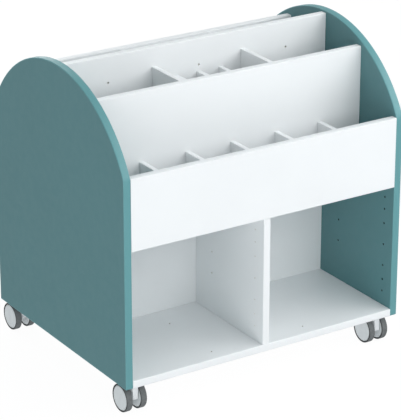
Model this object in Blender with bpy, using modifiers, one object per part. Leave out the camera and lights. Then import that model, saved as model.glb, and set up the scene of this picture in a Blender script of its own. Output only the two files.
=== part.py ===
# Double-sided storage trolley: arched end panels, a carcass with bins on both sides, twin-wheel castors.
# Metres, +Z up, front towards -Y, standing on z = 0 with the bounding box centred on the origin.
import math

import bmesh
import bpy
from mathutils import Matrix

# Boards
WIDTH = 0.750
DEPTH = 0.590
BOARD = 0.018
DIVIDER_BOARD = 0.012
EDGE_ROUND = 0.001
JOINT_GAP = 0.0003

# End panels: straight edges up to the spring of the arch, and the rise of the arch above them
SIDE_STRAIGHT = 0.501
ARCH_RISE = 0.183
ARCH_STEPS = 32

# Upright boards: how far the spine and the mid panels stay below the arch, and where the mid panels stand
SPINE_DROP = 0.006
MID_PANEL_DROP = 0.0115
MID_PANEL_FACE = 0.1515
BIN_PANEL_HEIGHT = 0.1715

# Dividers: how many, and how far their tops lie below the panel in front of them
BIN_DIVIDERS = 5
BIN_DIVIDER_DROP = 0.0295
LOW_DIVIDERS = 3
LOW_DIVIDER_DROP = 0.0365
TALL_DIVIDER_DROP = 0.0035

# Castor places: the swivel axis from the end panel's outer face and from the front or rear edge
CASTOR_INSET_X = 0.038
CASTOR_INSET_Y = 0.0355
CASTOR_TRAIL = 0.0135

# Castor wheels
WHEEL_RADIUS = 0.0334
TYRE_WIDTH = 0.0152
TYRE_THICKNESS = 0.0039
TYRE_SHOULDER = 0.0018
TYRE_SEAT_GAP = 0.0003
HUB_CAP = 0.003
HUB_EDGE = 0.0006
WHEEL_STEPS = 32

# Castor plate and kingpin
PLATE_X = 0.037
PLATE_Y = 0.060
PLATE_THICKNESS = 0.0025
PLATE_CORNER = 0.005
SCREW_HOLE_RADIUS = 0.0022
SCREW_HOLE_EDGE = 0.007
KINGPIN_RADIUS = 0.004
KINGPIN_LENGTH = 0.024

# Castor bracket and axle
AXLE_RADIUS = 0.003
TURNING_GAP = 0.0003
BOSS_WALL = 0.0055
BOSS_FLOOR = 0.004
FLANGE_RADIUS = 0.015
FLANGE_THICKNESS = 0.003
FLANGE_TO_WHEEL = 0.0026
BOSS_TO_WHEEL = 0.0011
AXLE_BOSS_WALL = 0.005
WEB_THICKNESS = 0.014
WEB_NOSE = 0.0125
WEB_TAPER = 0.001
WEB_INSET = 0.001
PIN_STEPS = 20

# Levels
SWIVEL_TOP = JOINT_GAP + PLATE_THICKNESS + TURNING_GAP
UNDERSIDE = 2 * WHEEL_RADIUS + FLANGE_TO_WHEEL + FLANGE_THICKNESS + SWIVEL_TOP
BASE_TOP = UNDERSIDE + BOARD
BIN_Z = UNDERSIDE + SIDE_STRAIGHT
BIN_BOTTOM = BIN_Z - BIN_PANEL_HEIGHT
SHELF_TOP = BIN_BOTTOM + BOARD

# Places across the depth, measured outwards from the middle plane
EDGE_Y = DEPTH / 2
BIN_BACK_Y = EDGE_Y - BOARD
MID_BACK_Y = MID_PANEL_FACE - BOARD
SPINE_Y = BOARD / 2

# The arch is one circular arc through both springs and the crown
ARCH_RADIUS = (EDGE_Y**2 + ARCH_RISE**2) / (2 * ARCH_RISE)
ARCH_CENTRE = SIDE_STRAIGHT + ARCH_RISE - ARCH_RADIUS
SPINE_Z = UNDERSIDE + ARCH_CENTRE + math.sqrt(ARCH_RADIUS**2 - SPINE_Y**2) - SPINE_DROP
MID_Z = UNDERSIDE + ARCH_CENTRE + math.sqrt(ARCH_RADIUS**2 - MID_PANEL_FACE**2) - MID_PANEL_DROP

# Places across the width
INNER_X = WIDTH / 2 - BOARD
BOARD_END_X = INNER_X - JOINT_GAP
BIN_CLEAR = (2 * INNER_X - BIN_DIVIDERS * DIVIDER_BOARD) / (BIN_DIVIDERS + 1)
BIN_PITCH = BIN_CLEAR + DIVIDER_BOARD
TALL_X = BIN_PITCH
LOW_PITCH = 2 * TALL_X / (LOW_DIVIDERS + 1)

# Castor sizes that follow from the ones above, measured from the kingpin at the underside
KINGPIN_X = WIDTH / 2 - CASTOR_INSET_X
KINGPIN_Y = EDGE_Y - CASTOR_INSET_Y
AXLE_Z = WHEEL_RADIUS - UNDERSIDE
BOSS_RADIUS = KINGPIN_RADIUS + TURNING_GAP + BOSS_WALL
WHEEL_INNER_X = BOSS_RADIUS + BOSS_TO_WHEEL
WHEEL_X = WHEEL_INNER_X + TYRE_WIDTH / 2
HUB_RADIUS = WHEEL_RADIUS - TYRE_THICKNESS
HUB_BORE_DEPTH = TYRE_WIDTH - HUB_CAP
AXLE_HALF = WHEEL_INNER_X + HUB_BORE_DEPTH - TURNING_GAP
AXLE_BOSS_HALF = WHEEL_INNER_X - TURNING_GAP
AXLE_BOSS_RADIUS = AXLE_RADIUS + AXLE_BOSS_WALL
AXLE_PLACE = (0.0, CASTOR_TRAIL, AXLE_Z)

# The castors all trail towards the rear, so the rear wheels may reach past the rear edge
REAR_REACH = max(EDGE_Y, KINGPIN_Y + CASTOR_TRAIL + WHEEL_RADIUS)
CARCASS_Y = (EDGE_Y - REAR_REACH) / 2

SIDES = (("front", -1), ("rear", 1))
ENDS = (("left", -1), ("right", 1))


def clear_scene():
    for obj in list(bpy.data.objects):
        bpy.data.objects.remove(obj, do_unlink=True)


def new_collection(name):
    collection = bpy.data.collections.new(name)
    bpy.context.scene.collection.children.link(collection)
    return collection


def new_material(name, colour, roughness, metallic=0.0):
    material = bpy.data.materials.new(name)
    material.use_nodes = True
    shader = material.node_tree.nodes["Principled BSDF"]
    shader.inputs["Base Color"].default_value = (*colour, 1.0)
    shader.inputs["Roughness"].default_value = roughness
    shader.inputs["Metallic"].default_value = metallic
    return material


def new_object(name, mesh, material, parent, location):
    obj = bpy.data.objects.new(name, mesh)
    if not mesh.materials:
        mesh.materials.append(material)
    obj.parent = parent
    obj.location = location
    TROLLEY.objects.link(obj)
    return obj


def new_empty(name, parent, location):
    empty = bpy.data.objects.new(name, None)
    empty.empty_display_size = 0.02
    empty.parent = parent
    empty.location = location
    TROLLEY.objects.link(empty)
    return empty


def tool_object(name, mesh):
    tool = bpy.data.objects.new(name, mesh)
    tool.hide_render = True
    tool.display_type = "WIRE"
    TOOLS.objects.link(tool)
    return tool


def mesh_from(bm, name):
    mesh = bpy.data.meshes.new(name)
    bm.to_mesh(mesh)
    bm.free()
    return mesh


# The mesh of a tool object with its modifiers applied; the tools that shaped it are removed
def finished_mesh(tool, name):
    used = [tool] + [m.object for m in tool.modifiers if m.type == "BOOLEAN"]
    graph = bpy.context.evaluated_depsgraph_get()
    mesh = bpy.data.meshes.new_from_object(tool.evaluated_get(graph))
    mesh.name = name
    for obj in used:
        bpy.data.objects.remove(obj, do_unlink=True)
    return mesh


def round_edges(obj):
    bevel = obj.modifiers.new("edge_round", "BEVEL")
    bevel.width = EDGE_ROUND
    bevel.segments = 1
    bevel.limit_method = "ANGLE"
    bevel.angle_limit = math.radians(60)


def smooth_round(obj):
    obj.data.shade_smooth()
    obj.data.set_sharp_from_angle(angle=math.radians(35))


# A straight board between two places on each axis
def board(name, x_span, y_span, z_span, material):
    spans = (x_span, y_span, z_span)
    size = [high - low for low, high in spans]
    middle = [(low + high) / 2 for low, high in spans]
    bm = bmesh.new()
    bmesh.ops.create_cube(bm, size=1.0, matrix=Matrix.Diagonal((*size, 1.0)))
    obj = new_object(name, mesh_from(bm, name), material, ROOT, middle)
    round_edges(obj)


# A span across the depth, on the front side (-1) or the rear side (1)
def depth_span(side, near, far):
    return (near, far) if side > 0 else (-far, -near)


# A flat plate cut to a closed outline, which lies in the plate's own XY plane
def outline_mesh(name, points, thickness):
    curve = bpy.data.curves.new(name, "CURVE")
    curve.dimensions = "2D"
    curve.fill_mode = "BOTH"
    curve.extrude = thickness / 2
    spline = curve.splines.new("POLY")
    spline.points.add(len(points) - 1)
    for point, (along, up) in zip(spline.points, points):
        point.co = (along, up, 0.0, 1.0)
    spline.use_cyclic_u = True
    shape = bpy.data.objects.new(name, curve)
    mesh = bpy.data.meshes.new_from_object(shape)
    bpy.data.objects.remove(shape, do_unlink=True)
    bm = bmesh.new()
    bm.from_mesh(mesh)
    bmesh.ops.remove_doubles(bm, verts=bm.verts, dist=1e-6)
    bmesh.ops.recalc_face_normals(bm, faces=bm.faces)
    bm.to_mesh(mesh)
    bm.free()
    return mesh


def side_outline():
    points = [(-EDGE_Y, 0.0), (EDGE_Y, 0.0)]
    half_angle = math.asin(EDGE_Y / ARCH_RADIUS)
    for step in range(ARCH_STEPS + 1):
        angle = half_angle * (1 - 2 * step / ARCH_STEPS)
        points.append((ARCH_RADIUS * math.sin(angle), ARCH_CENTRE + ARCH_RADIUS * math.cos(angle)))
    return points


def add_side_panels(material):
    for end, side in ENDS:
        mesh = outline_mesh(f"{end}_side_panel", side_outline(), BOARD)
        middle = (side * (WIDTH - BOARD) / 2, 0.0, UNDERSIDE)
        panel = new_object(f"{end}_side_panel", mesh, material, ROOT, middle)
        panel.rotation_euler = (math.pi / 2, 0.0, math.pi / 2)
        round_edges(panel)


# Base and spine, and on each side the bin panel, shelf, mid panel and lower divider
def add_carcass(material):
    full_x = (-BOARD_END_X, BOARD_END_X)
    board("base_panel", full_x, (-EDGE_Y, EDGE_Y), (UNDERSIDE, BASE_TOP), material)
    board("spine_panel", full_x, (-SPINE_Y, SPINE_Y), (BASE_TOP + JOINT_GAP, SPINE_Z), material)
    for name, side in SIDES:
        bin_y = depth_span(side, BIN_BACK_Y, EDGE_Y)
        board(f"{name}_bin_panel", full_x, bin_y, (BIN_BOTTOM, BIN_Z), material)
        shelf_y = depth_span(side, SPINE_Y + JOINT_GAP, BIN_BACK_Y - JOINT_GAP)
        board(f"{name}_shelf", full_x, shelf_y, (BIN_BOTTOM, SHELF_TOP), material)
        mid_y = depth_span(side, MID_BACK_Y, MID_PANEL_FACE)
        board(f"{name}_mid_panel", full_x, mid_y, (SHELF_TOP + JOINT_GAP, MID_Z), material)
        lower_x = (-BOARD / 2, BOARD / 2)
        lower_y = depth_span(side, SPINE_Y + JOINT_GAP, EDGE_Y)
        lower_z = (BASE_TOP + JOINT_GAP, BIN_BOTTOM - JOINT_GAP)
        board(f"{name}_lower_divider", lower_x, lower_y, lower_z, material)


def divider(name, x, y_span, top, material):
    x_span = (x - DIVIDER_BOARD / 2, x + DIVIDER_BOARD / 2)
    board(name, x_span, y_span, (SHELF_TOP + JOINT_GAP, top), material)


# Bin dividers at an even pitch, and in the tier behind them tall dividers with low ones between
def add_dividers(material):
    for name, side in SIDES:
        bin_y = depth_span(side, MID_PANEL_FACE + JOINT_GAP, BIN_BACK_Y - JOINT_GAP)
        for i in range(BIN_DIVIDERS):
            x = (i - (BIN_DIVIDERS - 1) / 2) * BIN_PITCH
            divider(f"{name}_bin_divider_{i + 1}", x, bin_y, BIN_Z - BIN_DIVIDER_DROP, material)
        tier_y = depth_span(side, SPINE_Y + JOINT_GAP, MID_BACK_Y - JOINT_GAP)
        for end, end_side in ENDS:
            x = end_side * TALL_X
            divider(f"{name}_tall_divider_{end}", x, tier_y, MID_Z - TALL_DIVIDER_DROP, material)
        for i in range(LOW_DIVIDERS):
            x = (i - (LOW_DIVIDERS - 1) / 2) * LOW_PITCH
            divider(f"{name}_low_divider_{i + 1}", x, tier_y, MID_Z - LOW_DIVIDER_DROP, material)


# A straight or tapered cylinder about its middle, along Z or X, with flats facing the axes
def cylinder(name, radius, length, middle, axis="Z", end_radius=None):
    turn = Matrix.Rotation(math.pi / 2, 4, "Y") if axis == "X" else Matrix()
    half_step = Matrix.Rotation(math.pi / PIN_STEPS, 4, "Z")
    bm = bmesh.new()
    bmesh.ops.create_cone(
        bm,
        cap_ends=True,
        segments=PIN_STEPS,
        radius1=radius,
        radius2=radius if end_radius is None else end_radius,
        depth=length,
        matrix=Matrix.Translation(middle) @ turn @ half_step,
    )
    return tool_object(name, mesh_from(bm, name))


def combine(tool, other, operation):
    modifier = tool.modifiers.new(other.name, "BOOLEAN")
    modifier.operation = operation
    modifier.solver = "EXACT"
    modifier.object = other


# Steel mounting plate with four screw holes and the kingpin riveted into it
def plate_mesh():
    middle_z = -JOINT_GAP - PLATE_THICKNESS / 2
    size = Matrix.Diagonal((PLATE_X, PLATE_Y, PLATE_THICKNESS, 1.0))
    bm = bmesh.new()
    bmesh.ops.create_cube(bm, size=1.0, matrix=Matrix.Translation((0.0, 0.0, middle_z)) @ size)
    upright = [e for e in bm.edges if abs(e.verts[0].co.z - e.verts[1].co.z) > PLATE_THICKNESS / 2]
    bmesh.ops.bevel(bm, geom=upright, offset=PLATE_CORNER, segments=4, profile=0.5, affect="EDGES")
    plate = tool_object("plate", mesh_from(bm, "plate"))
    pin_length = KINGPIN_LENGTH + PLATE_THICKNESS / 2
    pin_middle = (0.0, 0.0, middle_z - pin_length / 2)
    combine(plate, cylinder("kingpin", KINGPIN_RADIUS, pin_length, pin_middle), "UNION")
    hole_x = PLATE_X / 2 - SCREW_HOLE_EDGE
    hole_y = PLATE_Y / 2 - SCREW_HOLE_EDGE
    for x in (-hole_x, hole_x):
        for y in (-hole_y, hole_y):
            hole = cylinder("screw_hole", SCREW_HOLE_RADIUS, 2 * PLATE_THICKNESS, (x, y, middle_z))
            combine(plate, hole, "DIFFERENCE")
    return finished_mesh(plate, "castor_plate")


# The bracket's web from the side: a nose in front of the kingpin and a round end about the axle
def web_outline():
    top = -SWIVEL_TOP - FLANGE_THICKNESS / 2
    points = [(BOSS_RADIUS, top), (-WEB_NOSE, top), (-WEB_NOSE + WEB_TAPER, AXLE_Z)]
    radius = AXLE_BOSS_RADIUS - WEB_INSET
    first, last, steps = math.radians(-100), math.radians(60), 8
    for step in range(steps + 1):
        angle = first + (last - first) * step / steps
        points.append((CASTOR_TRAIL + radius * math.cos(angle), AXLE_Z + radius * math.sin(angle)))
    return points


# Moulded bracket: swivel flange, kingpin boss, web, and a boss across the web for the axle
def bracket_mesh():
    upright = Matrix.Rotation(math.pi / 2, 4, "Z") @ Matrix.Rotation(math.pi / 2, 4, "X")
    bracket = tool_object("web", outline_mesh("web", web_outline(), WEB_THICKNESS))
    bracket.data.transform(upright)
    flange_middle = (0.0, 0.0, -SWIVEL_TOP - FLANGE_THICKNESS / 2)
    combine(bracket, cylinder("flange", FLANGE_RADIUS, FLANGE_THICKNESS, flange_middle), "UNION")
    bore_end = -SWIVEL_TOP - KINGPIN_LENGTH
    boss_length = KINGPIN_LENGTH + BOSS_FLOOR - FLANGE_THICKNESS / 4
    boss_middle = (0.0, 0.0, bore_end - BOSS_FLOOR + boss_length / 2)
    boss_end = BOSS_RADIUS - BOSS_WALL / 2
    boss = cylinder("boss", boss_end, boss_length, boss_middle, end_radius=BOSS_RADIUS)
    combine(bracket, boss, "UNION")
    axle_boss = cylinder("axle_boss", AXLE_BOSS_RADIUS, 2 * AXLE_BOSS_HALF, AXLE_PLACE, "X")
    combine(bracket, axle_boss, "UNION")
    bore_length = 2 * KINGPIN_LENGTH
    bore_middle = (0.0, 0.0, bore_end + bore_length / 2)
    bore = cylinder("bore", KINGPIN_RADIUS + TURNING_GAP, bore_length, bore_middle)
    combine(bracket, bore, "DIFFERENCE")
    axle_hole = cylinder("axle_hole", AXLE_RADIUS + TURNING_GAP, 4 * AXLE_BOSS_HALF, AXLE_PLACE, "X")
    combine(bracket, axle_hole, "DIFFERENCE")
    return finished_mesh(bracket, "castor_bracket")


def axle_mesh():
    return finished_mesh(cylinder("axle", AXLE_RADIUS, 2 * AXLE_HALF, (0, 0, 0), "X"), "castor_axle")


# A profile of (along, radius) points turned about X; flats face down, so radii hold at the flats
def turned_mesh(name, profile, side, closed):
    half_step = math.pi / WHEEL_STEPS
    bm = bmesh.new()
    verts = []
    for along, radius in profile:
        verts.append(bm.verts.new((side * along, radius * math.tan(half_step), radius)))
    pairs = list(zip(verts, verts[1:]))
    if closed:
        pairs.append((verts[-1], verts[0]))
    for pair in pairs:
        bm.edges.new(pair)
    turned = tool_object(name, mesh_from(bm, name))
    screw = turned.modifiers.new("turn", "SCREW")
    screw.axis = "X"
    screw.steps = WHEEL_STEPS
    screw.render_steps = WHEEL_STEPS
    screw.use_merge_vertices = True
    screw.merge_threshold = 1e-6
    mesh = finished_mesh(turned, name)
    bm = bmesh.new()
    bm.from_mesh(mesh)
    bmesh.ops.recalc_face_normals(bm, faces=bm.faces)
    bm.to_mesh(mesh)
    bm.free()
    return mesh


# Solid tyre ring with rounded shoulders
def tyre_mesh(side):
    half = TYRE_WIDTH / 2
    seat = HUB_RADIUS + TYRE_SEAT_GAP
    low = TYRE_SHOULDER
    mid = TYRE_SHOULDER * (1 - math.sqrt(0.5))
    shoulder = [(half, low), (half - mid, mid), (half - low, 0.0)]
    right = [(along, WHEEL_RADIUS - drop) for along, drop in shoulder]
    left = [(-along, radius) for along, radius in reversed(right)]
    return turned_mesh("castor_tyre", [(half, seat), *right, *left, (-half, seat)], side, True)


# Flat disc closed on its outer face, with a blind bore for the axle in its inner face
def hub_mesh(side):
    half = TYRE_WIDTH / 2
    bore = AXLE_RADIUS + TURNING_GAP
    bore_end = HUB_BORE_DEPTH - half
    profile = [
        (half, 0.0),
        (half, HUB_RADIUS - HUB_EDGE),
        (half - HUB_EDGE, HUB_RADIUS),
        (HUB_EDGE - half, HUB_RADIUS),
        (-half, HUB_RADIUS - HUB_EDGE),
        (-half, bore),
        (bore_end, bore),
        (bore_end, 0.0),
    ]
    return turned_mesh("castor_hub", profile, side, False)


# Four twin-wheel castors, each on an empty where its kingpin meets the underside
def add_castors(steel, bracket_white, hub_grey, tyre_grey):
    plate, bracket, axle = plate_mesh(), bracket_mesh(), axle_mesh()
    wheels = [(end, side, hub_mesh(side), tyre_mesh(side)) for end, side in ENDS]
    for depth_name, depth_side in SIDES:
        for width_name, width_side in ENDS:
            name = f"{depth_name}_{width_name}_castor"
            place = (width_side * KINGPIN_X, depth_side * KINGPIN_Y, UNDERSIDE)
            castor = new_empty(name, ROOT, place)
            new_object(f"{name}_plate", plate, steel, castor, (0, 0, 0))
            new_object(f"{name}_bracket", bracket, bracket_white, castor, (0, 0, 0))
            smooth_round(new_object(f"{name}_axle", axle, steel, castor, AXLE_PLACE))
            for end, side, hub, tyre in wheels:
                wheel_place = (side * WHEEL_X, CASTOR_TRAIL, AXLE_Z)
                smooth_round(new_object(f"{name}_hub_{end}", hub, hub_grey, castor, wheel_place))
                smooth_round(new_object(f"{name}_tyre_{end}", tyre, tyre_grey, castor, wheel_place))


clear_scene()
TROLLEY = new_collection("storage_trolley")
TOOLS = new_collection("construction_tools")
TOOLS.hide_render = True
ROOT = new_empty("storage_trolley_root", None, (0.0, CARCASS_Y, 0.0))
WHITE_BOARD = new_material("white_melamine", (0.86, 0.88, 0.90), 0.45)
add_side_panels(new_material("teal_melamine", (0.10, 0.22, 0.24), 0.45))
add_carcass(WHITE_BOARD)
add_dividers(WHITE_BOARD)
add_castors(
    new_material("zinc_steel", (0.55, 0.56, 0.57), 0.35, 1.0),
    new_material("white_nylon", (0.82, 0.84, 0.86), 0.5),
    new_material("light_grey_plastic", (0.50, 0.54, 0.55), 0.45),
    new_material("dark_grey_rubber", (0.09, 0.10, 0.10), 0.7),
)
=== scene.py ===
import math

import bmesh
import bpy
from mathutils import Matrix, Vector


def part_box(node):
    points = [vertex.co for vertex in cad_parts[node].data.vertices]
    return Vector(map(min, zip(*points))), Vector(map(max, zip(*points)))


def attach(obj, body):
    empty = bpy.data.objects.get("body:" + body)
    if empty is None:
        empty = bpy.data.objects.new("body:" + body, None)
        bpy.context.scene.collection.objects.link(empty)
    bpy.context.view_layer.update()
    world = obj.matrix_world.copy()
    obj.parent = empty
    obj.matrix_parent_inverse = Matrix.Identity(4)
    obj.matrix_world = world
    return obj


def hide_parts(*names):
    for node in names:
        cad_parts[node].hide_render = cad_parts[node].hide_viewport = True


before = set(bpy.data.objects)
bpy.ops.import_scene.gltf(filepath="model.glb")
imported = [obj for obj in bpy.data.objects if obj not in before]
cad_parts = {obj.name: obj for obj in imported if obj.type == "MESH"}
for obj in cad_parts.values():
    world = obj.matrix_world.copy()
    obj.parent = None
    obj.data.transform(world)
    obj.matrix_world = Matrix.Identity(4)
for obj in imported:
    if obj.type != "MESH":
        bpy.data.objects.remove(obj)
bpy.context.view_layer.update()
scene = bpy.context.scene
depthSides = (("front", -1), ("rear", 1))
widthEnds = (("left", -1), ("right", 1))
axisX, axisY, axisZ = 0, 1, 2
tiny = 1e-6  # metres; points closer than this count as one


# short helpers for node trees: an input takes a fixed value, or a link where the value is a socket
def setInputs(node, values):
    for key, value in values.items():
        if isinstance(value, bpy.types.NodeSocket):
            node.id_data.links.new(value, node.inputs[key])
        else:
            node.inputs[key].default_value = value


def addNode(tree, kind, values=None, **settings):
    node = tree.nodes.new(kind)
    for key, value in settings.items():
        setattr(node, key, value)
    setInputs(node, values or {})
    return node


def mathNode(tree, operation, *values):
    return addNode(tree, "ShaderNodeMath", dict(enumerate(values)), operation=operation).outputs[0]


# camera where the photograph was taken from; azimuth 0 is in front of the trolley, 90 at its right end
viewpoint = {
    "azimuth": -32.668,
    "elevation": 22.222,
    "distance": 5.4055,
    "aim": (-0.0117, -0.0398, 0.3399),
    "lens": 197.53,
    "clipEnd": 100.0,
}


def standAround(obj, aim, place):
    turn, rise = math.radians(place["azimuth"]), math.radians(place["elevation"])
    back = Vector((math.sin(turn) * math.cos(rise), -math.cos(turn) * math.cos(rise), math.sin(rise)))
    obj.location = Vector(aim) + back * place["distance"]
    obj.rotation_euler = (math.pi / 2 - rise, 0.0, turn)
    scene.collection.objects.link(obj)


def placeCamera(view):
    camera = bpy.data.objects.new("photoCamera", bpy.data.cameras.new("photoCamera"))
    camera.data.lens = view["lens"]
    camera.data.clip_end = view["clipEnd"]
    standAround(camera, view["aim"], view)
    scene.camera = camera


placeCamera(viewpoint)

# soft studio: large soft boxes around the object, a dim sky and a bright pale floor
softBoxes = {  # places as for the camera, sizes in metres
    "keyBox": {"azimuth": 54, "elevation": 34, "distance": 3.0, "size": (2.2, 2.1), "brightness": 2.4},
    "topBox": {"azimuth": 15, "elevation": 66, "distance": 3.4, "size": (2.0, 1.6), "brightness": 0.8},
    "frontBox": {"azimuth": 0, "elevation": 23, "distance": 4.2, "size": (3.8, 2.1), "brightness": 2.1},
    "sideFill": {"azimuth": -60, "elevation": -10, "distance": 4.2, "size": (4.0, 2.0), "brightness": 2.1},
    "rearBox": {"azimuth": 180, "elevation": 40, "distance": 4.2, "size": (3.2, 2.25), "brightness": 2.0},
    "rearApron": {"azimuth": 180, "elevation": 10, "distance": 4.2, "size": (4.0, 1.4), "brightness": 2.0},
}
studio = {
    "boxAim": (0.0, 0.0, 0.38),
    "boxTone": (1.0, 1.0, 1.0),
    "skyTone": (0.94, 1.0, 1.02),
    "skyStrength": 0.43,
    "bounceTone": (0.97, 1.0, 1.03),
    "bounceStrength": 0.55,
    "backdropTone": (1.0, 1.0, 1.0),
    "backdropStrength": 1.0,
    "horizonBlend": 0.05,
    "floorSize": 40.0,
    "floorTone": (0.07, 0.07, 0.07),
    "floorRoughness": 0.9,
    "floorSpecular": 0.0,
    "glowTone": (1.0, 1.0, 1.0),
    "glowStrength": 0.95,
}


def paintSky(look):
    world = scene.world or bpy.data.worlds.new("studioSky")
    scene.world = world
    world.use_nodes = True
    tree = world.node_tree
    tree.nodes.clear()

    def background(name):
        values = {"Color": (*look[name + "Tone"], 1.0), "Strength": look[name + "Strength"]}
        return addNode(tree, "ShaderNodeBackground", values, name=name).outputs[0]

    def blend(share, first, second):
        return addNode(tree, "ShaderNodeMixShader", {0: share, 1: first, 2: second}).outputs[0]

    direction = addNode(tree, "ShaderNodeTexCoord").outputs["Generated"]
    height = addNode(tree, "ShaderNodeSeparateXYZ", {0: direction}).outputs["Z"]
    horizon = {"Value": height, "From Min": -look["horizonBlend"], "From Max": look["horizonBlend"]}
    above = addNode(tree, "ShaderNodeMapRange", horizon).outputs[0]
    around = blend(above, background("bounce"), background("sky"))
    seen = addNode(tree, "ShaderNodeLightPath").outputs["Is Camera Ray"]
    addNode(tree, "ShaderNodeOutputWorld", {0: blend(seen, around, background("backdrop"))})


def hangSoftBoxes(look, boxes):
    for name, box in boxes.items():
        wide, high = box["size"]
        light = bpy.data.lights.new(name, "AREA")
        light.shape = "RECTANGLE"
        light.size, light.size_y = wide, high
        light.energy = math.pi * wide * high * box["brightness"]
        light.color = look["boxTone"]
        lamp = bpy.data.objects.new(name, light)
        lamp.visible_camera = False
        standAround(lamp, look["boxAim"], box)


def layFloor(look):
    bm = bmesh.new()
    bmesh.ops.create_grid(bm, x_segments=1, y_segments=1, size=look["floorSize"] / 2)
    mesh = bpy.data.meshes.new("studioFloor")
    bm.to_mesh(mesh)
    bm.free()
    material = bpy.data.materials.new("paleFloor")
    material.use_nodes = True
    setInputs(material.node_tree.nodes["Principled BSDF"], {
        "Base Color": (*look["floorTone"], 1.0),
        "Roughness": look["floorRoughness"],
        "Specular IOR Level": look["floorSpecular"],
        "Emission Color": (*look["glowTone"], 1.0),
        "Emission Strength": look["glowStrength"],
    })
    mesh.materials.append(material)
    floor = bpy.data.objects.new("studioFloor", mesh)
    # its light on the object is the sky's lower half
    floor.visible_diffuse = floor.visible_glossy = floor.visible_shadow = False
    scene.collection.objects.link(floor)


paintSky(studio)
hangSoftBoxes(studio, softBoxes)
layFloor(studio)
scene.view_settings.view_transform = "Standard"
print("camera, light and floor are set")

# short helpers for materials; a noise is given by its scale and detail
noiseSpan = (0.35, 0.65)  # most of a noise lies between these


def newMaterial(name):
    material = bpy.data.materials.new(name)
    material.use_nodes = True
    tree = material.node_tree
    addNode(tree, "ShaderNodeTexCoord", name="place")
    return material, tree, tree.nodes["Principled BSDF"]


def grain(tree, scale, detail, stretch=None):
    source = tree.nodes["place"].outputs["Object"]
    if stretch:
        source = addNode(tree, "ShaderNodeMapping", {"Vector": source, "Scale": stretch}).outputs[0]
    noise = addNode(tree, "ShaderNodeTexNoise", {"Vector": source, "Scale": scale, "Detail": detail})
    return noise.outputs[0]


def cells(tree, scale):
    source = tree.nodes["place"].outputs["Object"]
    return addNode(tree, "ShaderNodeTexVoronoi", {"Vector": source, "Scale": scale}).outputs["Distance"]


def shade(colour, factor):
    return tuple(channel * factor for channel in colour)


def toneRamp(tree, source, low, high, span=noiseSpan):
    ramp = addNode(tree, "ShaderNodeValToRGB", {0: source})
    for stop, place, tone in zip(ramp.color_ramp.elements, span, (low, high)):
        stop.position = place
        stop.color = (*tone, 1.0)
    return ramp.outputs[0]


def cloudyTone(tree, colour, noise, spread):
    return toneRamp(tree, grain(tree, *noise), shade(colour, 1 - spread), shade(colour, 1 + spread))


def valueRange(tree, source, low, high, span=noiseSpan):
    values = {"Value": source, "From Min": span[0], "From Max": span[1], "To Min": low, "To Max": high}
    return addNode(tree, "ShaderNodeMapRange", values).outputs[0]


def blendTone(tree, share, under, over):
    return addNode(tree, "ShaderNodeMix", {0: share, 6: under, 7: (*over, 1.0)}, data_type="RGBA").outputs[2]


def pieceValue(tree, name):
    return addNode(tree, "ShaderNodeAttribute", attribute_name=name).outputs["Fac"]


def relief(tree, source, look):
    values = {"Height": source, "Strength": look["reliefStrength"], "Distance": look["reliefHeight"]}
    return addNode(tree, "ShaderNodeBump", values).outputs[0]


# melamine-faced board and its edge band: satin, fine pearl texture, faint cloudiness, worn at the corners
melamineLook = {
    "cloud": (5.0, 3.0),
    "cloudSpread": 0.012,
    "scuffs": (60.0, 4.0),
    "roughness": (0.37, 0.45),
    "bandGloss": 0.04,
    "pearl": (1500.0, 1.5),
    "reliefStrength": 0.10,
    "reliefHeight": 0.00004,
    "wear": (90.0, 4.0),
    "wearSpan": (0.54, 0.68),
    "wearMost": 0.3,
}


def melamine(name, colour, wornTone=None):
    look = melamineLook
    material, tree, shader = newMaterial(name)
    tone = cloudyTone(tree, colour, look["cloud"], look["cloudSpread"])
    low, high = look["roughness"]
    if wornTone:  # an edge band
        patches = valueRange(tree, grain(tree, *look["wear"]), 0.0, look["wearMost"], look["wearSpan"])
        worn = mathNode(tree, "MULTIPLY", pieceValue(tree, "edgeWear"), patches)
        tone = blendTone(tree, worn, tone, wornTone)
        low, high = low - look["bandGloss"], high - look["bandGloss"]
    setInputs(shader, {
        "Base Color": tone,
        "Roughness": valueRange(tree, grain(tree, *look["scuffs"]), low, high),
        "Normal": relief(tree, grain(tree, *look["pearl"]), look),
    })
    return material


# chipboard inside drilled holes, toned per board as painted light and shade: pale in the white boards, near
# black in the teal ones
chipboardLook = {
    "chips": 900.0,
    "chipSpan": (0.1, 0.8),
    "roughness": 0.9,
    "reliefStrength": 0.4,
    "reliefHeight": 0.0002,
}


def chipboard(name, dark, light):
    look = chipboardLook
    material, tree, shader = newMaterial(name)
    chips = cells(tree, look["chips"])
    setInputs(shader, {
        "Base Color": toneRamp(tree, chips, dark, light, look["chipSpan"]),
        "Roughness": look["roughness"],
        "Normal": relief(tree, chips, look),
    })
    return material


# moulded plastic: fine eroded grain, with rings around the axle where the piece carries them
plasticLook = {
    "cloud": (70.0, 3.0),
    "cloudSpread": 0.03,
    "patches": (160.0, 3.0),
    "patchSpread": 0.06,
    "erosion": (2600.0, 1.0),
    "ringPitch": 0.0016,
    "ringShare": 0.25,
    "reliefStrength": 0.12,
    "reliefHeight": 0.00005,
}


def mouldedPlastic(name, colour, roughness, rings=False):
    look = plasticLook
    material, tree, shader = newMaterial(name)
    low, high = roughness - look["patchSpread"], roughness + look["patchSpread"]
    texture = grain(tree, *look["erosion"])
    if rings:
        turns = mathNode(tree, "MULTIPLY", pieceValue(tree, "fromAxle"), 2 * math.pi / look["ringPitch"])
        texture = mathNode(tree, "MULTIPLY_ADD", mathNode(tree, "SINE", turns), look["ringShare"], texture)
    setInputs(shader, {
        "Base Color": cloudyTone(tree, colour, look["cloud"], look["cloudSpread"]),
        "Roughness": valueRange(tree, grain(tree, *look["patches"]), low, high),
        "Normal": relief(tree, texture, look),
    })
    return material
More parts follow.
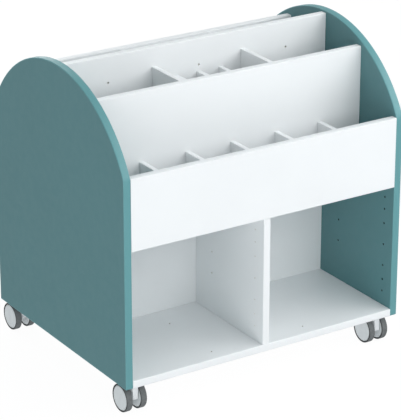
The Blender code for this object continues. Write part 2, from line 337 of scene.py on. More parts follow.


# solid tyre: grey rubber with painted light and shade: the tread, where it rolls, is painted pale in patches
# and the sidewalls dark
rubberLook = {
    "cloud": (220.0, 4.0),
    "cloudSpread": 0.12,
    "dust": (130.0, 5.0),
    "dustShare": (0.75, 1.0),
    "patches": (300.0, 3.0),
    "roughness": (0.58, 0.75),
    "specular": 0.35,
    "grit": (1800.0, 3.0),
    "reliefStrength": 0.25,
    "reliefHeight": 0.00008,
}


def rubber(name, colour, litTreadTone):
    look = rubberLook
    material, tree, shader = newMaterial(name)
    tone = cloudyTone(tree, colour, look["cloud"], look["cloudSpread"])
    # painted light: patches of a paler tone laid over the tread
    patches = valueRange(tree, grain(tree, *look["dust"]), *look["dustShare"])
    litTread = mathNode(tree, "MULTIPLY", pieceValue(tree, "tread"), patches)
    setInputs(shader, {
        "Base Color": blendTone(tree, litTread, tone, litTreadTone),
        "Roughness": valueRange(tree, grain(tree, *look["patches"]), *look["roughness"]),
        "Specular IOR Level": look["specular"],
        "Normal": relief(tree, grain(tree, *look["grit"]), look),
    })
    return material


# zinc plating: bright metal with soft spangle and fine draw marks
zincLook = {
    "spangle": 420.0,
    "spangleSpan": (0.1, 0.9),
    "spangleShades": (0.9, 1.08),
    "patches": (240.0, 3.0),
    "roughness": (0.26, 0.42),
    "drawMarks": (700.0, 2.0, (1.0, 0.06, 1.0)),
    "reliefStrength": 0.12,
    "reliefHeight": 0.00006,
}


def zincPlate(name, colour):
    look = zincLook
    material, tree, shader = newMaterial(name)
    dark, light = [shade(colour, factor) for factor in look["spangleShades"]]
    setInputs(shader, {
        "Base Color": toneRamp(tree, cells(tree, look["spangle"]), dark, light, look["spangleSpan"]),
        "Metallic": 1.0,
        "Roughness": valueRange(tree, grain(tree, *look["patches"]), *look["roughness"]),
        "Normal": relief(tree, grain(tree, *look["drawMarks"]), look),
    })
    return material


finishes = {
    "teal": (0.0805, 0.216, 0.233),
    # edge band on a real banded edge, toned lighter than the face as a painted highlight along the edges
    "tealBand": (0.125, 0.331, 0.354),
    "tealWorn": (0.20, 0.41, 0.43),
    # hole cores in the teal boards near black: painted shade
    "tealChips": ((0.016, 0.024, 0.025), (0.040, 0.052, 0.052)),
    "white": (0.885, 0.907, 0.918),
    "whiteWorn": (0.74, 0.75, 0.75),
    # hole cores in the white boards paler than raw chipboard: painted light
    "whiteChips": ((0.66, 0.64, 0.60), (0.80, 0.79, 0.76)),
    "hub": (0.71, 0.745, 0.755),
    "bracket": (0.86, 0.885, 0.90),
    # tyre sidewalls darkened as painted shade; the tread is paler as painted light
    "tyre": (0.046, 0.050, 0.052),
    "tyreDust": (0.165, 0.175, 0.178),
    "zinc": (0.60, 0.615, 0.64),
}
tealFace = melamine("tealMelamine", finishes["teal"])
tealBand = melamine("tealEdgeBand", finishes["tealBand"], finishes["tealWorn"])
whiteFace = melamine("whiteMelamine", finishes["white"])
whiteBand = melamine("whiteEdgeBand", finishes["white"], finishes["whiteWorn"])
whiteCoreLit = chipboard("whiteBoardCore", *finishes["whiteChips"])
tealCoreShaded = chipboard("tealBoardCore", *finishes["tealChips"])
hubPlastic = mouldedPlastic("lightGreyPlastic", finishes["hub"], roughness=0.42, rings=True)
bracketNylon = mouldedPlastic("whiteNylon", finishes["bracket"], roughness=0.48)
capPlastic = mouldedPlastic("whiteCapPlastic", finishes["white"], roughness=0.4)
tyreRubber = rubber("greyRubber", finishes["tyre"], finishes["tyreDust"])
zincSteel = zincPlate("zincSteel", finishes["zinc"])
print("finishes are mixed")


# short helpers for objects and meshes
def newObject(name, mesh):
    obj = bpy.data.objects.new(name, mesh)
    scene.collection.objects.link(obj)
    return obj


def discard(*objects):
    for obj in objects:
        bpy.data.objects.remove(obj, do_unlink=True)


def meshFrom(bm, name, *materials):
    mesh = bpy.data.meshes.new(name)
    bmesh.ops.recalc_face_normals(bm, faces=bm.faces)
    bm.to_mesh(mesh)
    bm.free()
    for material in materials:
        mesh.materials.append(material)
    return mesh


def bakedMesh(obj, name):
    graph = bpy.context.evaluated_depsgraph_get()
    shown = obj.evaluated_get(graph)
    mesh = bpy.data.meshes.new_from_object(shown, preserve_all_data_layers=True, depsgraph=graph)
    mesh.name = name
    return mesh


def softShade(mesh, degrees):
    mesh.shade_smooth()
    mesh.set_sharp_from_angle(angle=math.radians(degrees))


def pointCloud(name, points, edges=()):
    mesh = bpy.data.meshes.new(name)
    mesh.from_pydata(points, edges, [])
    return newObject(name, mesh)


def wireLoop(name, points):
    count = len(points)
    edges = [(i, (i + 1) % count) for i in range(count)]
    return pointCloud(name, [(*point, 0.0) for point in points], edges)


# short helpers for geometry trees
def geometryTree(name, inputs):
    tree = bpy.data.node_groups.new(name, "GeometryNodeTree")
    tree.is_modifier = True
    tree.interface.new_socket("Geometry", in_out="INPUT", socket_type="NodeSocketGeometry")
    for label, (kind, value) in inputs.items():
        socket = tree.interface.new_socket(label, in_out="INPUT", socket_type="NodeSocket" + kind)
        if value is not None:
            socket.default_value = value
    tree.interface.new_socket("Geometry", in_out="OUTPUT", socket_type="NodeSocketGeometry")
    return tree, tree.nodes.new("NodeGroupInput").outputs


def stored(tree, geometry, name, value, kind="FLOAT", domain="POINT"):
    values = {"Geometry": geometry, "Name": name, "Value": value}
    return addNode(tree, "GeometryNodeStoreNamedAttribute", values, data_type=kind, domain=domain).outputs[0]


def copiesAt(tree, places, part, values):
    cloud = addNode(tree, "GeometryNodeObjectInfo", {"Object": places}).outputs["Geometry"]
    points = addNode(tree, "GeometryNodeMeshToPoints", {"Mesh": cloud}).outputs[0]
    values = {"Points": points, "Instance": part, **values}
    return addNode(tree, "GeometryNodeInstanceOnPoints", values).outputs[0]


def endTree(tree, geometry, material, selection=True):
    real = addNode(tree, "GeometryNodeRealizeInstances", {0: geometry}).outputs[0]
    values = {"Geometry": real, "Selection": selection, "Material": material}
    finish = addNode(tree, "GeometryNodeSetMaterial", values).outputs[0]
    addNode(tree, "NodeGroupOutput", {0: finish})
    return tree


def runTree(obj, tree, values, name):
    modifier = obj.modifiers.new(tree.name, "NODES")
    modifier.node_group = tree
    for item in tree.interface.items_tree:
        if item.item_type == "SOCKET" and item.in_out == "INPUT" and item.name in values:
            modifier[item.identifier] = values[item.name]
    mesh = bakedMesh(obj, name)
    obj.modifiers.remove(modifier)
    return mesh


# a band with two rounded outer corners that follows a closed loop: edge banding and tyres
bandMarks = {"treadFrom": 0.4, "wearFrom": 0.95}  # shares of the rounding, counted in from the outside


def roundedBandTree(marks):
    tree, given = geometryTree("roundedBand", {
        "Width": ("Float", 0.018),
        "Depth": ("Float", 0.002),
        "Rounding": ("Float", 0.0015),
        "Rounding steps": ("Int", 4),
        "Material": ("Material", None),
    })
    spot = addNode(tree, "GeometryNodeInputPosition").outputs[0]
    parts = addNode(tree, "ShaderNodeSeparateXYZ", {0: spot}).outputs
    outward, across = parts["X"], mathNode(tree, "ABSOLUTE", parts["Y"])

    def beyond(place, size, share):  # 1 past the given share of the rounding
        reach = mathNode(tree, "MULTIPLY", given[size], 0.5)
        inset = mathNode(tree, "MULTIPLY", given["Rounding"], share)
        return mathNode(tree, "GREATER_THAN", place, mathNode(tree, "SUBTRACT", reach, inset))

    outer = mathNode(tree, "GREATER_THAN", outward, 0.0)
    section = addNode(tree, "GeometryNodeCurvePrimitiveQuadrilateral", {
        "Width": given["Depth"],
        "Height": given["Width"],
    })
    fillet = addNode(tree, "GeometryNodeFilletCurve", {
        "Curve": section.outputs[0],
        "Count": given["Rounding steps"],
        "Radius": mathNode(tree, "MULTIPLY", given["Rounding"], outer),
        "Limit Radius": True,
    }, mode="POLY")
    rolls = beyond(outward, "Depth", marks["treadFrom"])
    pastEdge = beyond(outward, "Depth", marks["wearFrom"])
    pastFace = beyond(across, "Width", marks["wearFrom"])
    profile = stored(tree, fillet.outputs[0], "tread", rolls)
    profile = stored(tree, profile, "edgeWear", mathNode(tree, "MULTIPLY", pastEdge, pastFace))
    inward = addNode(tree, "ShaderNodeCombineXYZ", {"X": mathNode(tree, "MULTIPLY", given["Depth"], -0.5)})
    moved = addNode(tree, "GeometryNodeTransform", {"Geometry": profile, "Translation": inward.outputs[0]})
    path = addNode(tree, "GeometryNodeMeshToCurve", {"Mesh": given["Geometry"]})
    level = addNode(tree, "GeometryNodeSetCurveNormal", {"Curve": path.outputs[0]}, mode="Z_UP")
    sweep = addNode(tree, "GeometryNodeCurveToMesh", {
        "Curve": level.outputs[0],
        "Profile Curve": moved.outputs[0],
    })
    return endTree(tree, sweep.outputs[0], given["Material"])


# blind holes drilled into a board at the points of another object
def drillTree():
    tree, given = geometryTree("drilledHoles", {
        "Places": ("Object", None),
        "Diameter": ("Float", 0.005),
        "Depth": ("Float", 0.008),
        "Turn": ("Vector", None),
        "Sides": ("Int", 24),
        "Material": ("Material", None),
    })
    drill = addNode(tree, "GeometryNodeMeshCylinder", {
        "Vertices": given["Sides"],
        "Radius": mathNode(tree, "MULTIPLY", given["Diameter"], 0.5),
        "Depth": mathNode(tree, "MULTIPLY", given["Depth"], 2.0),  # half of it is above the surface
    })
    marked = stored(tree, drill.outputs["Mesh"], "holeWall", True, "BOOLEAN", "FACE")
    turn = addNode(tree, "FunctionNodeEulerToRotation", {0: given["Turn"]}).outputs[0]
    cut = addNode(tree, "GeometryNodeMeshBoolean", {
        "Mesh 1": given["Geometry"],
        "Mesh 2": copiesAt(tree, given["Places"], marked, {"Rotation": turn}),
    }, operation="DIFFERENCE", solver="EXACT")
    wall = addNode(tree, "GeometryNodeInputNamedAttribute", {"Name": "holeWall"}, data_type="BOOLEAN")
    return endTree(tree, cut.outputs[0], given["Material"], wall.outputs["Attribute"])


# copies of one small part at the points of another object: screws and cover caps
def scatterTree():
    tree, given = geometryTree("placedParts", {
        "Places": ("Object", None),
        "Size": ("Float", 1.0),
        "Material": ("Material", None),
    })
    copies = copiesAt(tree, given["Places"], given["Geometry"], {"Scale": given["Size"]})
    return endTree(tree, copies, given["Material"])


bandTree, holeTree, partTree = roundedBandTree(bandMarks), drillTree(), scatterTree()
axisTurn = {axisX: (0.0, math.pi / 2, 0.0), axisY: (math.pi / 2, 0.0, 0.0), axisZ: (0.0, 0.0, 0.0)}


def bandAlong(points, width, depth, rounding, steps, material):
    path = wireLoop("bandPath", points)
    values = {
        "Width": width,
        "Depth": depth,
        "Rounding": rounding,
        "Rounding steps": steps,
        "Material": material,
    }
    mesh = runTree(path, bandTree, values, "roundedBand")
    discard(path)
    return mesh


def drilled(mesh, points, axis, look, inside):
    board, places = newObject("boardToDrill", mesh), pointCloud("holePlaces", points)
    values = {
        "Places": places,
        "Diameter": look["diameter"],
        "Depth": look["depth"],
        "Turn": axisTurn[axis],
        "Sides": look["sides"],
        "Material": inside,
    }
    cut = runTree(board, holeTree, values, mesh.name)
    discard(board, places)
    return cut


# points of an arc in a plane, angles in degrees
def arc(x, y, radius, first, last, steps):
    angles = [math.radians(first + (last - first) * step / steps) for step in range(steps + 1)]
    return [(x + radius * math.cos(angle), y + radius * math.sin(angle)) for angle in angles]


def circle(radius, steps):
    return arc(0.0, 0.0, radius, 0, 360, steps)[:-1]


# a body turned about X from (along, radius) points, closed on the axis where the radius is zero
def turned(profile, steps):
    bm = bmesh.new()
    rings = []
    for along, radius in profile:
        spots = [(0.0, 0.0)] if radius < tiny else circle(radius, steps)
        rings.append([bm.verts.new((along, y, z)) for z, y in spots])
    for first, second in zip(rings, rings[1:]):
        for step in range(steps):
            corners = [first[step % len(first)], first[(step + 1) % len(first)]]
            corners += [second[(step + 1) % len(second)], second[step % len(second)]]
            unique = list(dict.fromkeys(corners))
            if len(unique) > 2:
                bm.faces.new(unique)
    return bm


# the same as a mesh, about Z where it stands
def turnedMesh(name, profile, steps, material, standing=True):
    bm = turned(profile, steps)
    if standing:
        bmesh.ops.rotate(bm, verts=bm.verts, matrix=Matrix.Rotation(-math.pi / 2, 3, "Y"))
    return meshFrom(bm, name, material)


# profile of a rod, chamfered at an end where a size is given
def rod(start, end, radius, endRadius=None, startChamfer=0.0, endChamfer=0.0):
    way = math.copysign(1.0, end - start)
    endRadius = endRadius or radius
    profile = [(start, 0.0), (start, radius - startChamfer)]
    if startChamfer:
        profile.append((start + way * startChamfer, radius))
    if endChamfer:
        profile.append((end - way * endChamfer, endRadius))
    return profile + [(end, endRadius - endChamfer), (end, 0.0)]


def prism(points, low, high):
    bm = bmesh.new()
    under = [bm.verts.new((x, y, low)) for x, y in points]
    over = [bm.verts.new((x, y, high)) for x, y in points]
    count = len(points)
    bm.faces.new(under[::-1])
    bm.faces.new(over)
    for i in range(count):
        bm.faces.new((under[i], under[(i + 1) % count], over[(i + 1) % count], over[i]))
    return bm


raiseFlat = Matrix.Rotation(math.pi / 2, 4, "Z") @ Matrix.Rotation(math.pi / 2, 4, "X")  # x, y to y, z


def levelEdges(bm):
    return [edge for edge in bm.edges if abs(edge.verts[0].co.z - edge.verts[1].co.z) < tiny]


def roundEdges(bm, edges, size, steps):
    bmesh.ops.bevel(bm, geom=edges, offset=size, segments=steps, profile=0.5, affect="EDGES")


def combined(name, base, others):
    body = newObject(name, base)
    tools = []
    for mesh, operation in others:
        tool = newObject("tool", mesh)
        tools.append(tool)
        modifier = body.modifiers.new("join", "BOOLEAN")
        modifier.operation, modifier.solver, modifier.object = operation, "EXACT", tool
    mesh = bakedMesh(body, name)
    discard(body, *tools)
    return mesh


# finished pieces, on their bodies
def pieceName(node):
    first, *rest = node.split("_")
    return first + "".join(word.capitalize() for word in rest)


def addPiece(node, mesh, body):
    piece = newObject(pieceName(node), mesh)
    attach(piece, body)
    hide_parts(node)


def addCopies(name, part, points, material):
    places, master = pointCloud("partPlaces", points), newObject("part", part)
    mesh = runTree(master, partTree, {"Places": places, "Size": 1.0, "Material": material}, name)
    discard(places, master)
    piece = newObject(name, mesh)
    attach(piece, "carcass")


# places that the boards and fittings are measured from
baseLow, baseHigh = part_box("base_panel")
spineLow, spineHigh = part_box("spine_panel")
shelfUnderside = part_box("front_shelf")[0].z
middleY = (baseLow.y + baseHigh.y) / 2
cubbyMiddle = (baseHigh.z + shelfUnderside) / 2

# drilled holes: shelf pins and hinge plates in the cubbies, fixing holes in the base and the spine
holes = {
    "diameter": 0.005,
    "depth": 0.008,
    "sides": 24,
    "frontColumn": 0.260,
    "backColumn": 0.0795,
    "pinHeights": (-0.054, 0.0, 0.054),
    "hingeHeights": (-0.120, -0.090, 0.090, 0.120),
    "baseX": (-0.127, 0.127),
    "spineX": (-0.242, 0.0, 0.242),
    "spineHeight": 0.615,
}
dividerMarks = {"diameter": 0.004, "depth": 0.001, "sides": 24}  # the dividers' front column is only started


def cubbyHoles(x, column, depths=depthSides):
    heights = holes["pinHeights"]
    if column == "frontColumn":
        heights += holes["hingeHeights"]
    return [(x, middleY + side * holes[column], cubbyMiddle + h) for _, side in depths for h in heights]


# straight boards: a section with rounded, banded free ends and a fine seam, drawn out along the board
thickBoard = {"rounding": 0.0015, "band": 0.0022, "seam": 0.0002, "seamDepth": 0.00015, "steps": 4}
thinBoard = {**thickBoard, "rounding": 0.001, "band": 0.0014}
noEnds, highEnd, bothEnds = (False, False), (False, True), (True, True)  # which ends are free


def boardSection(low, high, half, free, look):
    radius, band, steps = look["rounding"], look["band"], look["steps"]
    section = []  # along, across, wear, and 1 where the strip after the point is edge band

    def corner(along, across, first):
        for step, point in enumerate(arc(along, across, radius, first, first + 90, steps)):
            section.append((*point, 1.0 if 0 < step < steps else 0.0, 1))

    def seam(along, across, way, inner):
        inside = across - math.copysign(look["seamDepth"], across)
        section.append((along, across, 0.0, 1))
        section.append((along + way * look["seam"] / 2, inside, 0.0, 1))
        section.append((along + way * look["seam"], across, 0.0, inner))

    for side in (-1, 1):  # out along one face and back along the other
        start, end, way = (low, high, 1) if side < 0 else (high, low, -1)
        freeStart, freeEnd = free if side < 0 else free[::-1]
        if freeStart:
            corner(start + way * radius, side * (half - radius), 180 if side < 0 else 0)
            seam(start + way * band, side * half, way, 0)
        else:
            section.append((start, side * half, 0.0, 0))
        if freeEnd:
            seam(end - way * (band + look["seam"]), side * half, way, 1)
            corner(end - way * radius, side * (half - radius), 270 if side < 0 else 90)
        else:
            section.append((end, side * half, 0.0, 0))
    return section


def boardMesh(node, run, along, free, look):
    low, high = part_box(node)
    across = axisX + axisY + axisZ - run - along
    middle = (low[across] + high[across]) / 2
    half = (high[across] - low[across]) / 2
    section = boardSection(low[along], high[along], half, free, look)
    bm = bmesh.new()
    wear = bm.verts.layers.float.new("edgeWear")
    ends = []
    for place in (low[run], high[run]):
        ring = []
        for alongPlace, acrossPlace, worn, _ in section:
            spot = [0.0, 0.0, 0.0]
            spot[run], spot[along], spot[across] = place, alongPlace, middle + acrossPlace
            vert = bm.verts.new(spot)
            vert[wear] = worn
            ring.append(vert)
        ends.append(ring)
    count = len(section)
    for i in range(count):
        j = (i + 1) % count
        face = bm.faces.new((ends[0][i], ends[0][j], ends[1][j], ends[1][i]))
        face.material_index = section[i][3]
    for ring in ends:
        bm.faces.new(ring)
    return meshFrom(bm, pieceName(node), whiteFace, whiteBand)


def addBoard(node, run, along, free, look, drills=()):
    mesh = boardMesh(node, run, along, free, look)
    for points, axis, drill in drills:
        mesh = drilled(mesh, points, axis, drill, whiteCoreLit)
    softShade(mesh, degrees=35)
    addPiece(node, mesh, "carcass")


def addBoards():
    basePoints = []
    for _, side in depthSides:
        for x in holes["baseX"]:
            for column in ("frontColumn", "backColumn"):
                basePoints.append((x, middleY + side * holes[column], baseHigh.z))
    addBoard("base_panel", axisX, axisY, bothEnds, thickBoard, [(basePoints, axisZ, holes)])
    spineFaces, spineZ = (spineLow.y, spineHigh.y), baseLow.z + holes["spineHeight"]
    spinePoints = [(x, y, spineZ) for x in holes["spineX"] for y in spineFaces]
    addBoard("spine_panel", axisX, axisZ, highEnd, thickBoard, [(spinePoints, axisY, holes)])
    for depth, side in depthSides:
        addBoard(f"{depth}_bin_panel", axisX, axisZ, bothEnds, thickBoard)
        addBoard(f"{depth}_shelf", axisX, axisY, noEnds, thickBoard)
        addBoard(f"{depth}_mid_panel", axisX, axisZ, highEnd, thickBoard)
        faces = [corner.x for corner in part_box(f"{depth}_lower_divider")]
        drills = []
        for column, drill in (("frontColumn", dividerMarks), ("backColumn", holes)):
            points = [point for x in faces for point in cubbyHoles(x, column, [(depth, side)])]
            drills.append((points, axisX, drill))
        outerEnd = (side < 0, side > 0)
        addBoard(f"{depth}_lower_divider", axisZ, axisY, outerEnd, thickBoard, drills)
    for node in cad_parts:
        if "_bin_divider_" in node or "_tall_divider_" in node or "_low_divider_" in node:
            addBoard(node, axisY, axisZ, highEnd, thinBoard)


addBoards()
print("white boards are cut, banded and drilled")

# end panels: arched board with its edge band swept round the outline
endPanel = {
    "rise": 0.183,
    "archSteps": 96,
    "springRounding": 0.035,  # where the arch meets the upright edge
    "springSteps": 10,
    "corner": 0.0025,
    "cornerSteps": 5,
    "rounding": 0.0016,
    "roundingSteps": 5,
    "band": 0.0022,
    "seam": 0.00005,
}


def panelOutline(look, inset=0.0):
    low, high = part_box("left_side_panel")
    edge, crown = (high.y - low.y) / 2, high.z - low.z
    radius = (edge**2 + look["rise"] ** 2) / (2 * look["rise"])
    corner, spring = look["corner"], look["springRounding"]
    archZ, springY = crown - radius, edge - spring
    springZ = archZ + math.sqrt((radius - spring) ** 2 - springY**2)
    turn = math.degrees(math.atan2(springZ - archZ, springY))
    arcs = [  # centre, radius, first and last angle, steps
        (corner - edge, corner, corner, 180, 270, look["cornerSteps"]),
        (edge - corner, corner, corner, 270, 360, look["cornerSteps"]),
        (springY, springZ, spring, 0, turn, look["springSteps"]),
        (0.0, archZ, radius, turn, 180 - turn, look["archSteps"]),
        (-springY, springZ, spring, 180 - turn, 180, look["springSteps"]),
    ]
    points = []
    for y, z, arcRadius, first, last, steps in arcs:
        for point in arc(y, z, arcRadius - inset, first, last, steps):
            if not points or math.dist(point, points[-1]) > tiny:  # tangent arcs share an end
                points.append(point)
    return points


def addEndPanels(look):
    outline = panelOutline(look)
    inner = panelOutline(look, look["band"] + look["seam"])
    for end, side in widthEnds:
        node = f"{end}_side_panel"
        low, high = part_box(node)
        thickness = high.x - low.x
        band = bandAlong(outline, thickness, look["band"], look["rounding"], look["roundingSteps"], tealBand)
        bm = prism(inner, -thickness / 2, thickness / 2)
        boardFaces = len(bm.faces)
        bm.from_mesh(band)
        for face in bm.faces[boardFaces:]:
            face.material_index = 1
        shift = Matrix.Translation(((low.x + high.x) / 2, middleY, low.z))
        bmesh.ops.transform(bm, matrix=shift @ raiseFlat, verts=bm.verts)
        mesh = meshFrom(bm, pieceName(node), tealFace, tealBand)
        innerFace = high.x if side < 0 else low.x
        columns = cubbyHoles(innerFace, "frontColumn") + cubbyHoles(innerFace, "backColumn")
        mesh = drilled(mesh, columns, axisX, holes, tealCoreShaded)
        softShade(mesh, degrees=25)
        addPiece(node, mesh, "carcass")


addEndPanels(endPanel)
print("end panels are banded and drilled")

# castors: wheels are made about their axle, brackets and plates about the kingpin
wheel = {
    "steps": 112,
    "shoulder": 0.0020,
    "shoulderSteps": 6,
    "seatGap": 0.0003,
    "hubEdge": 0.0010,
    "hubEdgeSteps": 3,
    "hubRebate": 0.0013,
    "hubRebateDepth": 0.0018,
    "grooveRadius": 0.0243,
    "grooveWidth": 0.0008,
    "grooveDepth": 0.0004,
    "dishRadius": 0.01458,
    "dishDepth": 0.0002,
    "lipDepth": 0.0004,
    "lipWidth": 0.0003,
    "gateRadius": 0.0034,
    "gateDepth": 0.0007,
    "axleBore": 0.0033,
    "boreChamfer": 0.0006,
    "hubCap": 0.003,
}


def tyreMesh(radius, seat, width):
    look = wheel
    line = circle(radius, look["steps"])
    mesh = bandAlong(line, width, radius - seat, look["shoulder"], look["shoulderSteps"], tyreRubber)
    mesh.transform(Matrix.Rotation(math.pi / 2, 4, "Y"))
    softShade(mesh, degrees=40)
    return mesh


def hubMesh(radius, width, side):
    look = wheel
    half, edge, edgeSteps = width / 2, look["hubEdge"], look["hubEdgeSteps"]
    groove, deep, wide = look["grooveRadius"], look["grooveDepth"], look["grooveWidth"]
    rim, step = radius - look["hubRebate"], half - look["hubRebateDepth"]
    gate, bore, chamfer = look["gateRadius"], look["axleBore"], look["boreChamfer"]
    boreEnd = half - look["hubCap"]
    profile = [  # the outer face, from the middle outwards
        (half - look["gateDepth"], 0.0),
        (half - look["gateDepth"], gate),
        (half - look["lipDepth"], gate + look["lipWidth"]),
        (half - look["dishDepth"], look["dishRadius"]),
        (half, groove - wide),
        (half - deep, groove - wide / 2),
        (half - deep, groove + wide / 2),
        (half, groove + wide),
    ]
    profile += arc(half - edge, rim - edge, edge, 0, 90, edgeSteps)
    profile += [(step, rim), (step, radius), (-step, radius), (-step, rim)]
    profile += arc(edge - half, rim - edge, edge, 90, 180, edgeSteps)
    profile += [(-half, bore + chamfer), (chamfer - half, bore), (boreEnd, bore), (boreEnd, 0.0)]
    bm = turned([(side * along, fromAxis) for along, fromAxis in profile], look["steps"])
    fromAxle = bm.verts.layers.float.new("fromAxle")
    for vert in bm.verts:
        vert[fromAxle] = math.hypot(vert.co.y, vert.co.z)
    mesh = meshFrom(bm, "castorHub", hubPlastic)
    softShade(mesh, degrees=32)
    return mesh


# bracket: web, flange, kingpin boss and axle barrel in one moulding
bracket = {
    "steps": 56,
    "flangeRadius": 0.015,
    "flangeThickness": 0.003,
    "chamfer": 0.0006,
    "bossRadius": 0.0098,
    "bossEnd": 0.00705,
    "bossChamfer": 0.001,
    "bossFloor": 0.004,
    "pinBore": 0.0043,
    "pinLength": 0.024,
    "axleBossRadius": 0.008,
    "axleBossHalf": 0.0106,
    "pinCutterTop": 0.01,  # both cutters reach past the moulding
    "axleCutterHalf": 0.02,
    "webThickness": 0.014,
    "webNose": 0.0125,
    "webTaper": 0.001,
    "webInset": 0.001,
    "webArc": (-100, 60),
    "webArcSteps": 24,
    "webRounding": 0.0014,
    "webRoundingSteps": 3,
    "webCornerAngle": 0.5,  # radians; sharper edges are rounded
}


def webMesh(trail, drop):
    look = bracket
    top, reach = -look["flangeThickness"] / 2, look["axleBossRadius"] - look["webInset"]
    outline = [
        (look["bossRadius"], top),
        (-look["webNose"], top),
        (look["webTaper"] - look["webNose"], drop),
        *arc(trail, drop, reach, *look["webArc"], look["webArcSteps"]),
    ]
    bm = prism(outline, -look["webThickness"] / 2, look["webThickness"] / 2)
    rim = levelEdges(bm)
    upright = [edge for edge in bm.edges if edge not in rim]
    corners = [edge for edge in upright if edge.calc_face_angle(0.0) > look["webCornerAngle"]]
    roundEdges(bm, rim + corners, look["webRounding"], look["webRoundingSteps"])
    bmesh.ops.transform(bm, matrix=raiseFlat, verts=bm.verts)
    return meshFrom(bm, "castorWeb", bracketNylon)


# flange top at z = 0, axle at (trail, drop)
def bracketMesh(trail, drop):
    look = bracket
    flange, chamfer, half = look["flangeThickness"], look["chamfer"], look["axleBossHalf"]
    bossLow, cutterHalf = -look["pinLength"] - look["bossFloor"], look["axleCutterHalf"]
    disc = rod(0.0, -flange, look["flangeRadius"], startChamfer=chamfer, endChamfer=chamfer)
    boss = rod(-flange / 4, bossLow, look["bossRadius"], look["bossEnd"], endChamfer=look["bossChamfer"])
    barrel = rod(-half, half, look["axleBossRadius"], startChamfer=chamfer, endChamfer=chamfer)
    pinHole = rod(look["pinCutterTop"], -look["pinLength"], look["pinBore"])
    axleHole = rod(-cutterHalf, cutterHalf, wheel["axleBore"])
    parts = []
    for profile, operation, onAxle in (
        (disc, "UNION", False),
        (boss, "UNION", False),
        (barrel, "UNION", True),
        (pinHole, "DIFFERENCE", False),
        (axleHole, "DIFFERENCE", True),
    ):
        part = turnedMesh("bracketPart", profile, look["steps"], bracketNylon, standing=not onAxle)
        if onAxle:
            part.transform(Matrix.Translation((0.0, trail, drop)))
        parts.append((part, operation))
    mesh = combined("castorBracket", webMesh(trail, drop), parts)
    softShade(mesh, degrees=30)
    return mesh


# mounting plate and the kingpin riveted to it
plate = {
    "x": 0.037,
    "y": 0.060,
    "thickness": 0.0025,
    "corner": 0.005,
    "cornerSteps": 6,
    "rounding": 0.0005,
    "roundingSteps": 2,
    "pinRadius": 0.004,
    "pinChamfer": 0.0006,
    "pinSteps": 40,
}
plateHoles = {"diameter": 0.0044, "depth": 0.004, "sides": 28, "edge": 0.007}


def plateHolePlaces(z):
    x, y = plate["x"] / 2 - plateHoles["edge"], plate["y"] / 2 - plateHoles["edge"]
    return [(sideX * x, sideY * y, z) for sideX in (-1, 1) for sideY in (-1, 1)]


# plate top at z = 0, kingpin under it
def plateMesh():
    look = plate
    middle, corner = -look["thickness"] / 2, look["corner"]
    points = []
    for sideX, sideY, first in ((1, 1, 0), (-1, 1, 90), (-1, -1, 180), (1, -1, 270)):
        x, y = sideX * (look["x"] / 2 - corner), sideY * (look["y"] / 2 - corner)
        points += arc(x, y, corner, first, first + 90, look["cornerSteps"])
    bm = prism(points, -look["thickness"], 0.0)
    roundEdges(bm, levelEdges(bm), look["rounding"], look["roundingSteps"])
    body = meshFrom(bm, "castorPlate", zincSteel)
    body = drilled(body, plateHolePlaces(0.0), axisZ, plateHoles, zincSteel)
    pin = rod(middle, middle - bracket["pinLength"], look["pinRadius"], endChamfer=look["pinChamfer"])
    kingpin = turnedMesh("kingpin", pin, look["pinSteps"], zincSteel)
    mesh = combined("castorPlate", body, [(kingpin, "UNION")])
    softShade(mesh, degrees=30)
    return mesh


# plate screws: pan heads with a cross recess
screw = {
    "radius": 0.0037,
    "height": 0.0021,
    "steps": 28,
    "domeShare": 0.45,
    "domeSteps": 5,
    "slotLong": 0.0042,
    "slotWide": 0.0009,
    "slotDeep": 0.0011,
    "slotTurns": (36, 126),
}


# underside of the head at z = 0, the head hangs below it
def screwMesh():
    look = screw
    radius, height, dome = look["radius"], look["height"], look["domeShare"]
    profile = [(0.0, 0.0), (0.0, radius)]
    for outward, down in arc(0.0, 0.0, 1.0, 0, 90, look["domeSteps"])[1:]:
        profile.append((-height * down, radius * (1 - dome + dome * outward)))
    profile.append((-height, 0.0))
    head = turnedMesh("screwHead", profile, look["steps"], zincSteel)
    cuts = []
    for turn in look["slotTurns"]:
        bm = bmesh.new()
        size = Matrix.Diagonal((look["slotLong"], look["slotWide"], 2 * look["slotDeep"], 1.0))
        place = Matrix.Rotation(math.radians(turn), 4, "Z") @ Matrix.Translation((0.0, 0.0, -height))
        bmesh.ops.create_cube(bm, size=1.0, matrix=place @ size)
        cuts.append((meshFrom(bm, "slot", zincSteel), "DIFFERENCE"))
    mesh = combined("plateScrew", head, cuts)
    softShade(mesh, degrees=30)
    return mesh


def placedCopy(mesh, place):
    copy = mesh.copy()
    copy.transform(Matrix.Translation(place))
    return copy


def castorMeshes(name, crown):
    tyreLow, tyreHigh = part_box(f"{name}_tyre_right")
    hubLow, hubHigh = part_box(f"{name}_hub_right")
    radius, width = (tyreHigh.z - tyreLow.z) / 2, tyreHigh.x - tyreLow.x
    axleY, axleZ = (tyreLow.y + tyreHigh.y) / 2, (tyreLow.z + tyreHigh.z) / 2
    hubRadius = (hubHigh.z - hubLow.z) / 2
    meshes = {f"hub_{end}": hubMesh(hubRadius, width, side) for end, side in widthEnds}
    meshes["tyre"] = tyreMesh(radius, hubRadius + wheel["seatGap"], width)
    meshes["bracket"] = bracketMesh(axleY - crown.y, axleZ - crown.z)
    meshes["plate"] = plateMesh()
    return meshes


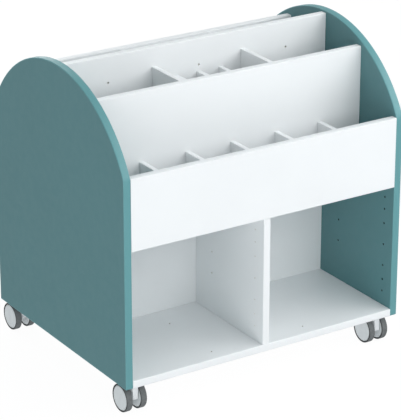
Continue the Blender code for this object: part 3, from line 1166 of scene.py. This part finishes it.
def addCastors():
    screwPlaces, meshes = [], None
    for name in [f"{depth}_{width}_castor" for depth, _ in depthSides for width, _ in widthEnds]:
        plateLow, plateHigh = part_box(f"{name}_plate")
        kingpin = (plateLow + plateHigh) / 2
        top = Vector((kingpin.x, kingpin.y, plateHigh.z))
        crown = Vector((kingpin.x, kingpin.y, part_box(f"{name}_bracket")[1].z))
        meshes = meshes or castorMeshes(name, crown)
        addPiece(f"{name}_plate", placedCopy(meshes["plate"], top), "carcass")
        addPiece(f"{name}_bracket", placedCopy(meshes["bracket"], crown), f"{name}_swivel")
        for end, _ in widthEnds:
            low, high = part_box(f"{name}_tyre_{end}")
            tyre, hub = [placedCopy(meshes[kind], (low + high) / 2) for kind in ("tyre", f"hub_{end}")]
            addPiece(f"{name}_tyre_{end}", tyre, f"{name}_wheel_{end}")
            addPiece(f"{name}_hub_{end}", hub, f"{name}_wheel_{end}")
        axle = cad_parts[f"{name}_axle"]
        axle.data.materials.clear()
        axle.data.materials.append(zincSteel)
        screwPlaces += [(top.x + x, top.y + y, top.z + z) for x, y, z in plateHolePlaces(-plate["thickness"])]
    addCopies("plateScrews", screwMesh(), screwPlaces, zincSteel)


addCastors()
print("castors are turned, moulded and screwed on")

# cover caps over the fittings that hold the base and the shelves, on their undersides
caps = {
    "radius": 0.0085,
    "height": 0.0012,
    "steps": 40,
    "edgeShare": 0.45,  # shares of the height
    "shoulderShare": 0.85,
    "dimpleShare": 0.7,
    "shoulderInset": 0.0007,
    "crownInset": 0.0018,
    "dimpleRadius": 0.0028,
    "dimpleFloor": 0.0022,
    "fromEnd": 0.034,
    "rows": (0.085, 0.190),
}


def addCaps(look):
    radius, height = look["radius"], look["height"]
    profile = [
        (0.0, 0.0),
        (0.0, radius),
        (-height * look["edgeShare"], radius),
        (-height * look["shoulderShare"], radius - look["shoulderInset"]),
        (-height, radius - look["crownInset"]),
        (-height, look["dimpleRadius"]),
        (-height * look["dimpleShare"], look["dimpleFloor"]),
        (-height * look["dimpleShare"], 0.0),
    ]
    cap = turnedMesh("coverCap", profile, look["steps"], capPlastic)
    softShade(cap, degrees=40)
    places = []
    x = baseHigh.x - look["fromEnd"]
    for sideX in (-1, 1):
        for sideY in (-1, 1):
            for row in look["rows"]:
                y = middleY + sideY * row
                places += [(sideX * x, y, baseLow.z), (sideX * x, y, shelfUnderside)]
    addCopies("coverCaps", cap, places, capPlastic)


addCaps(caps)
print("cover caps are in place")
